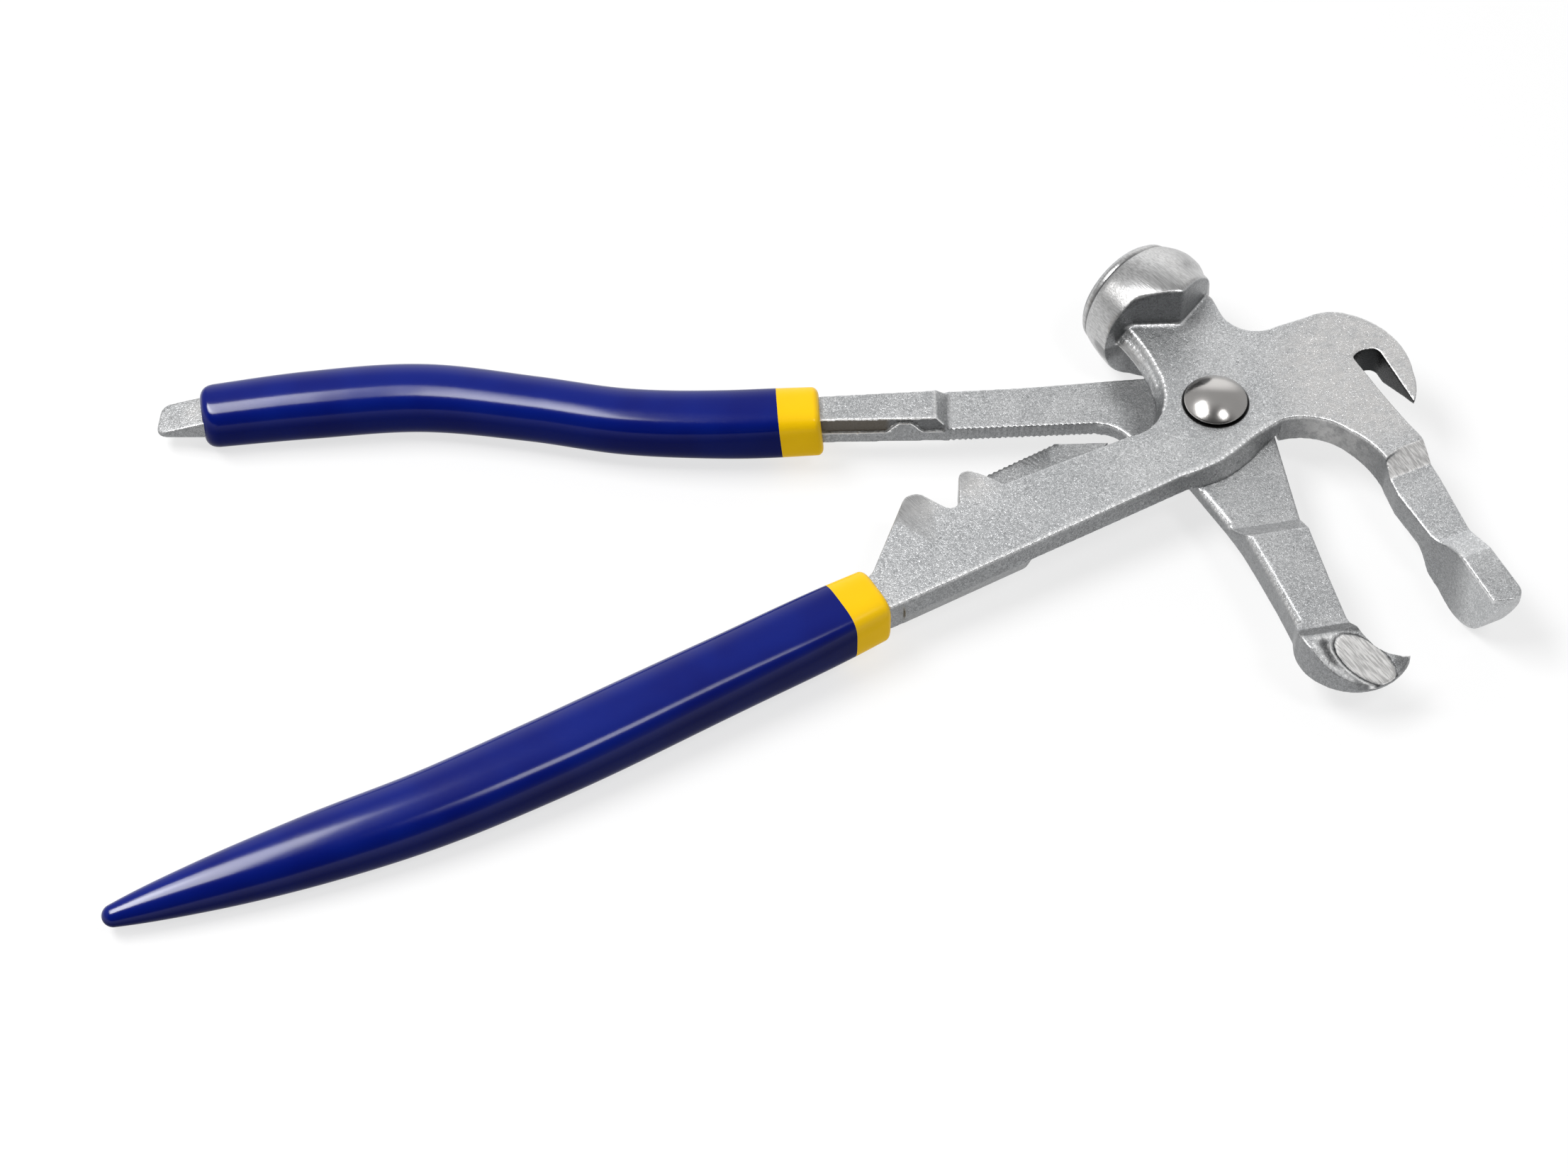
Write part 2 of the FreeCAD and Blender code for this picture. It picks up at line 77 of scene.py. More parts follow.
class Skin:
    """A piece's surface as arrays, in millimetres, so that detail can be worked into it."""

    def __init__(self, mesh):
        self.mesh = mesh
        self.count = len(mesh.vertices)
        self.at = np.empty((self.count, 3))
        mesh.vertices.foreach_get("co", self.at.ravel())
        pairs = np.empty((len(mesh.edges), 2), np.int32)
        mesh.edges.foreach_get("vertices", pairs.ravel())
        self.ends = pairs.T
        self.valence = np.bincount(pairs.ravel(), minlength=self.count)

    def average(self, values):
        """Mean of each point's neighbours, for one number or several per point."""
        a, b = self.ends
        columns = values.reshape(self.count, -1).T
        sums = [np.bincount(a, c[b], self.count) + np.bincount(b, c[a], self.count)
                for c in columns]
        return (np.array(sums) / self.valence).T.reshape(values.shape)

    def smooth(self, rounds, softness):
        """Rounds off the edges; softness, from 0 to 1, may differ from point to point."""
        share = 0.5 * np.broadcast_to(softness, self.count)[:, None]
        for _ in range(rounds):
            self.at += share * (self.average(self.at) - self.at)

    def write(self):
        """Puts the points back into the mesh."""
        self.mesh.vertices.foreach_set("co", self.at.ravel())
        self.mesh.update()

    def normals(self):
        """Unit normals of the surface as it now is."""
        self.write()
        out = np.empty((self.count, 3))
        self.mesh.vertex_normals.foreach_get("vector", out.ravel())
        return out

    def push(self, amount):
        """Moves every point out along its normal."""
        self.at += self.normals() * np.broadcast_to(amount, self.count)[:, None]

    def edges_out(self):
        """How sharply the surface bends outwards at each point, blurred a little."""
        lift = self.at - self.average(self.at)
        bend = np.einsum("ij,ij->i", lift, self.normals())
        return self.average(bend) / VOXEL ** 2

    def paint(self, **masks):
        """Stores every mask that the steel reads, one number per point; 0 where none is given."""
        for name in MASKS:
            values = masks.get(name, np.zeros(self.count))
            layer = self.mesh.attributes.new(name, "FLOAT", "POINT")
            layer.data.foreach_set("value", np.ascontiguousarray(values, np.float32))

    def forging(self, name, body, slot, node, material):
        """Thins the skin and makes it the object that stands for a CAD lever."""
        self.write()
        self.mesh.transform(Matrix.Scale(MM, 4))
        self.mesh.polygons.foreach_set("use_smooth", [True] * len(self.mesh.polygons))
        piece = placed(name, self.mesh)
        if STEEL_FACES < len(self.mesh.polygons):
            thin = piece.modifiers.new("thin", "DECIMATE")
            thin.ratio = STEEL_FACES / len(self.mesh.polygons)
            piece.data = baked(piece)
            piece.modifiers.clear()
        piece.data.materials.append(material)
        stand_in(piece, body, node)


def baked(piece):
    """The piece's mesh with its modifiers applied."""
    bpy.context.view_layer.update()
    shown = piece.evaluated_get(bpy.context.evaluated_depsgraph_get())
    return bpy.data.meshes.new_from_object(shown)


def skin_of(node):
    """Even skin of small quads over a CAD node's shape."""
    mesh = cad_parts[node].data.copy()
    mesh.materials.clear()
    mesh.transform(Matrix.Scale(1 / MM, 4))
    work = bmesh.new()
    work.from_mesh(mesh)
    bmesh.ops.remove_doubles(work, verts=work.verts, dist=0.002)
    work.to_mesh(mesh)
    work.free()
    holder = placed("holder", mesh)
    remesh = holder.modifiers.new("even", "REMESH")
    remesh.mode = "VOXEL"
    remesh.voxel_size = VOXEL
    even = baked(holder)
    bpy.data.objects.remove(holder)
    for attribute in list(even.attributes):
        if attribute.domain == "CORNER" and attribute.data_type == "FLOAT2":
            even.attributes.remove(attribute)
    return Skin(even)


def step(low, high, value):
    """Smooth rise from 0 at low to 1 at high; low may be the greater, for a fall."""
    t = np.clip((value - low) / (high - low), 0, 1)
    return t * t * (3 - 2 * t)


def hump(centre, width, value):
    """1 at the centre, falling away smoothly to nothing about two widths off."""
    return np.exp(-((value - centre) / width) ** 2)


def near_path(at, points):
    """Distance from a path of straight runs, in plan or in space, and the length along it."""
    points = np.array(points, float)
    at = at[:, :points.shape[1]]
    best = np.full(len(at), 1e9)
    along = np.zeros(len(at))
    start = 0.0
    for a, b in zip(points, points[1:]):
        run = b - a
        length = np.linalg.norm(run)
        t = np.clip((at - a) @ run / length ** 2, 0, 1)
        away = np.linalg.norm(at - a - t[:, None] * run, axis=1)
        closer = away < best
        best = np.where(closer, away, best)
        along = np.where(closer, start + t * length, along)
        start += length
    return best, along


def beside(at, points, inner, outer):
    """1 within the inner distance of a path, 0 beyond the outer one."""
    away, _ = near_path(at, points)
    return step(outer, inner, away)


def ripple(s, seed):
    """Uneven run of numbers from 0 to 1 along a length, the same each time."""
    return 0.5 + 0.5 * (0.45 * np.sin(5.3 * s + seed) + 0.33 * np.sin(11.9 * s + 2.1 * seed)
                        + 0.22 * np.sin(2.3 * s + 3.7 * seed))


def flash(at, points, width, seed):
    """Uneven ridge along a path, from 0 to 1."""
    away, along = near_path(at, points)
    return hump(0, width, away) * (0.2 + 0.8 * ripple(along, seed))


# ------------------------------------------------------------------ shader helpers

class Wiring:
    """Builds a node tree by wiring values together; a value is a number, a vector or a socket."""

    def __init__(self, tree):
        self.tree = tree

    def node(self, kind, **settings):
        node = self.tree.nodes.new("ShaderNode" + kind)
        for name, value in settings.items():
            setattr(node, name, value)
        return node

    def wire(self, value, socket):
        if isinstance(value, bpy.types.NodeSocket):
            self.tree.links.new(value, socket)
        else:
            socket.default_value = value

    def maths(self, operation, first, second, clamp=False):
        node = self.node("Math", operation=operation, use_clamp=clamp)
        self.wire(first, node.inputs[0])
        self.wire(second, node.inputs[1])
        return node.outputs[0]

    def vector(self, operation, first, second=None, scale=None):
        node = self.node("VectorMath", operation=operation)
        self.wire(first, node.inputs[0])
        if second is not None:
            self.wire(second, node.inputs[1])
        if scale is not None:
            self.wire(scale, node.inputs["Scale"])
        gives_number = operation in ("LENGTH", "DISTANCE", "DOT_PRODUCT")
        return node.outputs["Value" if gives_number else "Vector"]

    def between(self, low, high, value):
        """Smooth rise from 0 at low to 1 at high; low may be the greater, for a fall."""
        node = self.node("MapRange", interpolation_type="SMOOTHSTEP")
        self.wire(value, node.inputs["Value"])
        self.wire(low, node.inputs["From Min"])
        self.wire(high, node.inputs["From Max"])
        return node.outputs["Result"]

    def blend(self, share, first, second):
        """Mix of two numbers."""
        node = self.node("Mix")
        self.wire(share, node.inputs[0])
        self.wire(first, node.inputs[2])
        self.wire(second, node.inputs[3])
        return node.outputs[0]

    def tint(self, share, first, second):
        """Mix of two colours."""
        node = self.node("Mix", data_type="RGBA")
        self.wire(share, node.inputs[0])
        self.wire(first, node.inputs[6])
        self.wire(second, node.inputs[7])
        return node.outputs[2]


class Recipe(Wiring):
    """A node material; place is the point that is shaded, in millimetres."""

    def __init__(self, name):
        self.material = bpy.data.materials.new(name)
        self.material.use_nodes = True
        super().__init__(self.material.node_tree)
        coords = self.node("TexCoord")
        self.place = self.vector("SCALE", coords.outputs["Object"], scale=1 / MM)

    def painted(self, name):
        """A mask that was painted on the skin."""
        return self.node("Attribute", attribute_name=name).outputs["Fac"]

    def noise(self, size, detail=2.0, warp=0.0, place=None):
        """Noise whose features are about size across."""
        node = self.node("TexNoise")
        self.wire(self.place if place is None else place, node.inputs["Vector"])
        self.wire(1 / size, node.inputs["Scale"])
        self.wire(detail, node.inputs["Detail"])
        self.wire(warp, node.inputs["Distortion"])
        return node.outputs["Fac"]

    def strokes(self, along, fine, length):
        """Noise drawn out along one direction: brush marks."""
        along = Vector(along).normalized()
        side = along.cross(Vector((0, 0, 1))).normalized()
        rows = [along / length, side / fine, side.cross(along) / fine]
        join = self.node("CombineXYZ")
        for row, socket in zip(rows, join.inputs):
            self.wire(self.vector("DOT_PRODUCT", self.place, tuple(row)), socket)
        return self.noise(1.0, place=join.outputs[0])

    def near(self, centre, radius, soft):
        """1 inside a ball, 0 outside it."""
        away = self.vector("DISTANCE", self.place, centre)
        return self.between(radius + soft, radius - soft, away)

    def bump(self, height, depth, under=None):
        """Relief from a number from 0 to 1; depth is in millimetres."""
        node = self.node("Bump")
        self.wire(1.0, node.inputs["Strength"])
        self.wire(depth * MM, node.inputs["Distance"])
        self.wire(height, node.inputs["Height"])
        if under is not None:
            self.wire(under, node.inputs["Normal"])
        return node.outputs["Normal"]

    def finish(self, **values):
        """Sets the shader's inputs, and gives the material."""
        shader = self.tree.nodes["Principled BSDF"]
        for name, value in values.items():
            self.wire(value, shader.inputs[name.replace("_", " ")])
        return self.material


def grey(level, warm=0.0):
    """A grey that leans to red where warm is above 0, and to blue below it."""
    return (level * (1 + warm), level, level * (1 - warm), 1)


# ------------------------------------------------------------------ steel

HAMMER_AIM = math.radians(130)
HAMMER_FACE = np.array((-16.8, 32.7, LAYER))          # centre of the striking face
HAMMER_AXIS = np.array((math.cos(HAMMER_AIM), math.sin(HAMMER_AIM), 0.0))
HAMMER_FAR_SIDE = np.array((math.sin(HAMMER_AIM), -math.cos(HAMMER_AIM), 0.0))
BARREL_INSIDE = (9.5, 10.8)       # the barrel's skin lies farther out from its axis than this
BARREL_ENDS = ((-1, 0), (19, 17.5))                   # depths behind the striking face
BARREL_RADIUS = 12.2              # near the lip, where the barrel meets the cheek
GROOVE_BEHIND = 2.2
GROOVE_WIDTH = 0.28
GROOVE_DEPTH = 0.14
SWELL = 1.2                       # most that the barrel's far side is filled out
WAIST = 0.8                       # most that it is drawn in behind that

# Colours in pairs run from the darkest to the lightest patch.
PLATING = (grey(0.52, -0.02), grey(0.60, -0.01))
BRIGHT_GRAIN = grey(0.86, -0.01)
DARK_GRAIN = grey(0.36, -0.02)
# painted shade on the upright sides of the forgings
WALL_SHADE = (grey(0.19, -0.02), grey(0.32, -0.02))
BRUSHED = (grey(0.52, 0.01), grey(0.82, 0.01))
TURNED = (grey(0.38), grey(0.56))
# grinding finish, also laid as painted highlight on two strips of the barrel
GROUND_AND_SHEEN = (grey(0.55, 0.01), grey(0.85, 0.01))
# edges worn bright by rubbing, partly painted highlight
RUBBED_AND_HIGHLIGHT = grey(0.95)
TAN = (0.17, 0.14, 0.10, 1)
# painted shade in the dark places of the forgings
PAINTED_SHADE_COLOUR = grey(0.025, -0.05)
# painted shadow on the plate round the rivet's head
RIVET_SHADOW = grey(0.02)
RIVET_SHADOW_RADIUS = 6.5            # of the ring of painted shadow on the plate round the rivet's head

PLATING_ROUGH = (0.36, 0.42)
BRUSHED_ROUGH = 0.36
TURNED_ROUGH = 0.30
GROUND_ROUGH = 0.62
RUBBED_ROUGH = 0.38

GRAIN_DEPTH = 0.08
BRUSHED_DEPTH = 0.015
TURNED_DEPTH = 0.03
GROUND_DEPTH = 0.12


class Steel(Recipe):
    """Satin plated forging, with brushed zones, edges worn bright with painted highlight on them,
    and painted shade in the dark places and on the upright sides.
    """

    def __init__(self, name, brushed_zones, jaw_shading, handle_shading):
        super().__init__(name)
        self.edge, self.flash, self.barrel, self.hollow, self.ground, self.tan, self.wall = (
            self.painted(mask) for mask in MASKS)
        self.brushed = self.brushed_patches(brushed_zones)
        self.rubbed_and_highlit = self.rubbed_and_highlit_patches()
        self.grain = self.noise(0.45, 3.0, warp=1.6)
        self.cloud = self.noise(11.0, 3.0)
        self.plan_lines = self.strokes((0.89, 0.45, 0.0), 0.22, 4.5)
        self.turned_lines = self.strokes(tuple(HAMMER_AXIS), 0.22, 3.0)
        self.ground_lines = self.strokes((0.80, -0.60, -0.63), 0.32, 2.6)
        self.finish(Base_Color=self.colour(jaw_shading, handle_shading), Metallic=1.0,
                    Roughness=self.roughness(), Normal=self.relief())

    def brushed_patches(self, zones):
        """Balls in which the faces are brushed, worn through in places."""
        brushed = 0.0
        for centre, radius, soft in zones:
            brushed = self.maths("MAXIMUM", brushed, self.near(centre, radius, soft))
        worn = self.between(0.35, 0.6, self.noise(1.6, 3.0))
        return self.maths("MULTIPLY", brushed, self.blend(worn, 0.45, 1.0))

    def rubbed_and_highlit_patches(self):
        """Edges and flash lines, worn bright by rubbing and lit by painted highlight, more in some
        places than in others.
        """
        rubbed_and_highlit = self.maths("MAXIMUM", self.between(0.18, 0.75, self.edge), self.flash, clamp=True)
        uneven = self.blend(self.noise(0.8), 0.55, 1.3)
        return self.maths("MULTIPLY", rubbed_and_highlit, uneven, clamp=True)

    def colour(self, jaw_shading, handle_shading):
        """Grained plating, darkened from the jaw towards the handles as painted shade, then each
        kind of surface, painted shade and painted highlight laid over it by its mask.
        """
        base = self.tint(self.between(0.3, 0.7, self.cloud), *PLATING)
        base = self.tint(self.between(0.51, 0.64, self.grain), base, BRIGHT_GRAIN)
        base = self.tint(self.between(0.45, 0.30, self.grain), base, DARK_GRAIN)
        # painted shade: the plating scaled from the handle's level at x -50 mm to the jaw's at x 0
        along_tool = self.vector("DOT_PRODUCT", self.place, (1, 0, 0))
        shading_falloff = self.blend(self.between(-50, 0, along_tool), handle_shading, jaw_shading)
        base = self.vector("SCALE", base, scale=shading_falloff)
        # painted shadow: a dark ring on the plate just outside the rivet's head
        from_rivet = self.vector("LENGTH", self.vector("MULTIPLY", self.place, (1, 1, 0)))
        rivet_shadow = self.between(RIVET_SHADOW_RADIUS + 0.35, RIVET_SHADOW_RADIUS, from_rivet)
        # each mask lays a finish, a painted shade or a painted highlight over the plating
        over = [(self.wall, self.tint(self.between(0.35, 0.65, self.grain), *WALL_SHADE)),
                (self.brushed, self.tint(self.plan_lines, *BRUSHED)),
                (self.barrel, self.tint(self.between(0.3, 0.7, self.turned_lines), *TURNED)),
                (self.tan, TAN),
                (self.hollow, PAINTED_SHADE_COLOUR),
                (rivet_shadow, RIVET_SHADOW),
                (self.ground, self.tint(self.between(0.35, 0.65, self.ground_lines), *GROUND_AND_SHEEN)),
                (self.rubbed_and_highlit, RUBBED_AND_HIGHLIGHT)]
        for mask, colour in over:
            base = self.tint(mask, base, colour)
        return base

    def roughness(self):
        rough = self.blend(self.between(0.3, 0.7, self.cloud), *PLATING_ROUGH)
        for mask, value in ((self.brushed, BRUSHED_ROUGH), (self.barrel, TURNED_ROUGH),
                            (self.ground, GROUND_ROUGH), (self.rubbed_and_highlit, RUBBED_ROUGH)):
            rough = self.blend(mask, rough, value)
        return rough

    def relief(self):
        grainy = self.maths("SUBTRACT", 1.0, self.maths("MAXIMUM", self.barrel, self.ground))
        relief = None
        for pattern, mask, depth in ((self.grain, grainy, GRAIN_DEPTH),
                                     (self.plan_lines, self.brushed, BRUSHED_DEPTH),
                                     (self.turned_lines, self.barrel, TURNED_DEPTH),
                                     (self.ground_lines, self.ground, GROUND_DEPTH)):
            relief = self.bump(self.maths("MULTIPLY", pattern, mask), depth, relief)
        return relief


def wall_share(facing):
    """1 on the upright sides of a forging, which are painted darker than its faces as painted
    shade.
    """
    return step(0.75, 0.25, np.abs(facing[:, 2]))


# ------------------------------------------------------------------ front forging

LEDGE_TEETH = [(-31.4, -7.4), (-46.8, -16.4)]
BEAK_TIP = [(38.9, 0.8), (39.0, 0.3)]
BEAK_SLOT = [(30.6, 11.2, 3), (34.6, 5.0, 3), (38.0, 0.5, 3)]
FIRST_STEP = [(33.0, -15.0, 5.2), (39.8, -11.3, 5.2)]
THROAT = [(-20, 19.2, 2), (-14.8, 14.7, 2), (-12.1, 8.0, 2), (-11.8, -0.2, 2), (-17, -8, 2)]
ARCH = [(6.6, -8.6), (16.0, -3.7), (25.8, -7.0), (32.2, -13.6)]

# Brushed zones are balls: centre, radius and softness.  These are the beak and two hook teeth.
FRONT_BRUSHED = [((30, 8, 7), 17, 6), ((-48, -20, 7), 3.5, 3), ((-58.5, -25.5, 7), 3.5, 3)]

# Each flash line is a path, its width and the seed of its unevenness; the lines are raised a little
# and painted bright, partly worn by rubbing and partly painted highlight.
FRONT_FLASH = [
    # foot of the hammer's cheek
    ([(-16.6, 18.9, 7.1), (-15.8, 19.8, 7.1), (-7.6, 19.9, 7.1), (-5.4, 20.7, 7.1)], 0.42, 1.0),
    # lower edge of the neck
    ([(-64.4, -50.4, 7.0), (-7.0, -18.0, 7.0)], 0.40, 2.0),
    # throat beside the hammer: top edge, the band below it, and the parting line
    ([(-16.2, 19.4, 6.9), (-12.9, 13.6, 6.9), (-10.3, 7.0, 6.9), (-9.7, 2.2, 6.9),
      (-10.4, -1.5, 6.9)], 0.55, 3.0),
    ([(-17.4, 17.8, 5.2), (-15.3, 15.4, 5.2), (-13.3, 12.3, 5.2), (-11.7, 8.4, 5.2),
      (-11.2, 5.5, 5.2)], 0.45, 3.5),
    ([(-19.6, 19.3, 3.6), (-16.1, 16.3, 3.6), (-13.8, 13.0, 3.6), (-12.1, 10.4, 3.6),
      (-11.8, 4.0, 3.6)], 0.4, 4.0),
    # arch between the plate and the foot's leg
    ([(-7.0, -18.2, 6.9), (0.6, -14.2, 6.9), (6.6, -8.6, 6.9), (11.0, -5.2, 6.9),
      (16.0, -3.7, 6.9), (21.0, -4.4, 6.9), (25.8, -7.0, 6.9), (29.4, -9.9, 6.9),
      (32.2, -13.6, 6.9)], 0.5, 5.0),
    # inner edge of the foot's leg
    ([(32.6, -17.2, 3.6), (44.8, -38.0, 6.6), (50.6, -51.0, 6.6)], 0.4, 6.0),
]
FRONT_FLASH_HEIGHT = 0.16
LAP_SKIN = 0.4                    # points this little above the parting plane are the lap's face


def shape_hammer(skin):
    """Cuts the groove behind the striking face, rounds out the barrel's far side and softens its
    lip; returns the depth behind the face, the share on the barrel and the groove."""
    off = skin.at - HAMMER_FACE
    behind = -off @ HAMMER_AXIS
    from_axis = np.linalg.norm(off + behind[:, None] * HAMMER_AXIS, axis=1)
    barrel = step(*BARREL_INSIDE, from_axis)
    for end in BARREL_ENDS:
        barrel *= step(*end, behind)
    groove = hump(GROOVE_BEHIND, GROOVE_WIDTH, behind) * barrel
    skin.push(-GROOVE_DEPTH * groove)

    far_side = step(1.0, 9.0, (skin.at - HAMMER_FACE) @ HAMMER_FAR_SIDE)
    swell = SWELL * hump(6.0, 4.0, behind)
    waist = WAIST * step(9.0, 12.0, behind) * step(16.0, 13.5, behind)
    skin.at += (barrel * far_side * (swell - waist))[:, None] * HAMMER_FAR_SIDE

    lip = step(2.4, 0.8, np.abs(from_axis - BARREL_RADIUS)) * step(8.0, 9.0, skin.at[:, 2])
    skin.smooth(45, lip * step(30, 27, skin.at[:, 1]) * step(3.4, 4.4, behind))
    return behind, barrel, groove


def raise_front_flash(skin):
    """Lifts the flash lines, but leaves the lap's face flat; returns where they are."""
    lines = np.clip(sum(flash(skin.at, *line) for line in FRONT_FLASH), 0, 1)
    height = skin.at[:, 2].copy()
    skin.push(FRONT_FLASH_HEIGHT * lines)
    lap = (height > LAYER) & (height < LAYER + LAP_SKIN)
    skin.at[lap, 2] = np.maximum(skin.at[lap, 2], height[lap])
    return lines


def front_hollows(at, facing, wall, groove, teeth):
    """Painted shade on the front forging: the beak's slot, the hammer's cheek and groove, the
    upright side under the throat's parting line, the serrated ledge and its teeth, and the arch."""
    x, y, z = at.T
    slot = beside(at, BEAK_SLOT, 4.8, 6.5) * wall * step(-1.5, -1.3, y)
    cheek = step(18.0, 19.0, y) * step(20.9, 20.4, y) * wall
    cheek *= step(-18, -16, x) * step(-5.4, -6.2, x)
    under_parting = beside(at, THROAT, 2.2, 3.2) * wall * step(3.6, 3.2, z)
    ledge = step(3.7, 3.5, z) * step(0.6, 0.9, facing[:, 2])
    ledge *= step(-20.0, -24.0, x) * step(-60.0, -55.0, x)
    arch_wall = beside(at, ARCH, 0.8, 1.6) * wall * step(6.7, 6.0, z)
    hollow = slot + 0.35 * cheek + 0.75 * groove + 0.55 * under_parting
    hollow += 0.3 * ledge + 0.3 * arch_wall + 0.45 * teeth
    return np.clip(hollow, 0, 1)


def front_lever():
    """Front forging: hammer, plate, beak, hooks, leg and foot pad."""
    skin = skin_of("front_lever")
    crisp = np.maximum(beside(skin.at, LEDGE_TEETH, 0.9, 1.8), beside(skin.at, BEAK_TIP, 1.0, 3.0))
    skin.smooth(9, 1 - crisp)
    behind, barrel, groove = shape_hammer(skin)
    lines = raise_front_flash(skin)

    x, y, _ = skin.at.T
    facing = skin.normals()
    wall = wall_share(facing)
    teeth = beside(skin.at, LEDGE_TEETH, 0.5, 0.9)
    # the slope of the first step down to the foot is finished by grinding; two strips of the barrel
    # get the same bright finish as painted highlight
    slope = step(0.96, 0.90, facing[:, 2]) * step(0.4, 0.6, facing[:, 2])
    first_step = beside(skin.at, FIRST_STEP, 2.4, 3.2) * slope
    turned_side = barrel * step(0.3, 0.5, 1 - np.abs(facing @ HAMMER_AXIS))
    near_side = -facing @ HAMMER_FAR_SIDE
    # painted highlight: two bright strips along the barrel's turned side
    highlight_bands = hump(0.60, 0.10, near_side) * step(2.6, 4.0, behind)
    highlight_bands += 0.45 * hump(-0.30, 0.16, near_side)
    foot = step(-38, -42, y) * step(36, 40, x)
    # painted shade on the upright sides, less on the foot's sides, none on the barrel's turned side
    # or the first step, and some over the whole foot
    sides = wall * (1 - turned_side) * (1 - 0.7 * foot) * (1 - first_step)

    skin.paint(edge=skin.edges_out() * (1 - teeth),
               flash=lines,
               barrel=turned_side,
               hollow=front_hollows(skin.at, facing, wall, groove, teeth),
               ground=np.clip(first_step + 0.8 * turned_side * highlight_bands, 0, 1),
               wall=np.maximum(sides, 0.3 * foot))
    steel = Steel("front_steel", FRONT_BRUSHED, jaw_shading=0.93, handle_shading=0.92)
    skin.forging("front_forging", "front_half", "front_steel", "front_lever", steel.material)


# ------------------------------------------------------------------ rear forging

ARM_TEETH = [(-23.0, -2.5), (-52.3, -4.1)]
CLAW_TIP = [(32.0, -59.0), (33.8, -58.5)]
CLAW_TIP_SIDE = [(31.8, -60.2), (33.8, -58.6)]
BESIDE_THROAT = [(-16.5, 6.0, 3.5), (-13.0, 2.0, 3.5), (-13.0, -4.0, 3.5)]
ABOVE_CLAW = [(13.4, -57.2), (22.8, -55.4)]
BESIDE_OVAL = [(16.6, -59.8), (18.2, -62.4)]
REAR_BRUSHED = [((-200, -1, 4), 2, 2)]                # on the tang

SHANK_EDGE = ([(-79.0, -4.8, 6.9), (-57.6, -4.3, 6.9), (-52.9, -3.9, 6.9)], 0.5, 5.0)
TOOTH_EDGE = ([(-51.0, -3.9, 3.4), (-22.8, -2.4, 3.4)], 0.4, 6.0)
# flash lines painted bright, partly worn by rubbing and partly painted highlight
REAR_FLASH = [
    # where the arm runs into the eye
    ([(-22.5, -2.7, 3.4), (-19.4, -3.7, 3.4), (-17.4, -5.4, 3.4)], 0.6, 7.0),
    # bevel of the claw's leg, low and high
    ([(-3.4, -19.6, 3.0), (1.4, -27.9, 3.0)], 0.55, 8.0),
    ([(4.0, -33.8, 6.5), (12.3, -54.4, 6.5)], 0.6, 9.0),
    # top of the shank's ramp
    ([(-55.0, -4.0, 7.0), (-55.0, 3.4, 7.0)], 0.3, 10.0),
    # knuckle above the claw, and the claw's outer lip
    ([(15.2, -59.2, 8.5), (23.4, -57.3, 8.5)], 0.5, 11.0),
    ([(14.6, -60.5, 8.4), (17.4, -63.4, 6.4), (22.0, -65.0, 3.4)], 0.45, 12.0),
]
RECESS_DEPTH = 0.45
SHANK_FLASH_HEIGHT = 0.2
OVAL_LINE_DEPTH = 0.12

OVAL_CENTRE = np.array((24.8, -61.1))
OVAL_AXIS = math.radians(-17)
OVAL_HALF = (6.2, 3.3)
OVAL_LOWER_LEFT = (-0.5, -0.87)   # direction from its middle to the claw's rounded outer side


def oval_share(at):
    """Below 1 inside the ragged oval dressed by grinding on top of the claw, above 1 outside it."""
    off = at[:, :2] - OVAL_CENTRE
    along = off @ (math.cos(OVAL_AXIS), math.sin(OVAL_AXIS))
    across = off @ (-math.sin(OVAL_AXIS), math.cos(OVAL_AXIS))
    share = np.hypot(along / OVAL_HALF[0], across / OVAL_HALF[1])
    share += 0.03 * (ripple(along, 13.0) + ripple(across, 14.0) - 1.0)
    return share + 5 * step(1.0, -0.5, at[:, 2])


def shank_recess(at, facing):
    """Hollow in the shank's near side; its lower edge rises over the bump at the ramp."""
    x, _, z = at.T
    low_edge = 3.1 + 2.6 * step(-65.0, -62.0, x) * step(-57.0, -60.0, x)
    recess = step(-52.6, -53.6, x) * step(-90.0, -89.0, x) * step(-0.5, -0.8, facing[:, 1])
    return recess * step(low_edge - 0.2, low_edge + 0.2, z) * step(6.9, 6.5, z)


def rear_hollows(at, oval, lower_left, recess):
    """Painted shade on the rear forging: round the claw's oval, in the shank's recess, above the
    claw, and in the front forging's shade beside the throat."""
    outside_oval = step(1.0, 1.06, oval)
    claw_side = beside(at, BESIDE_OVAL, 0.6, 1.5) + beside(at, CLAW_TIP_SIDE, 0.8, 1.8)
    claw_rim = step(1.7, 1.2, oval) * outside_oval * lower_left
    hollow = 0.5 * beside(at, BESIDE_THROAT, 1.5, 7.0) + 0.6 * beside(at, ABOVE_CLAW, 1.0, 1.7)
    hollow += 0.5 * claw_side * outside_oval
    hollow += 0.8 * hump(1.03, 0.035, oval) + 0.45 * claw_rim
    hollow += 0.55 * recess
    return np.clip(hollow, 0, 1)


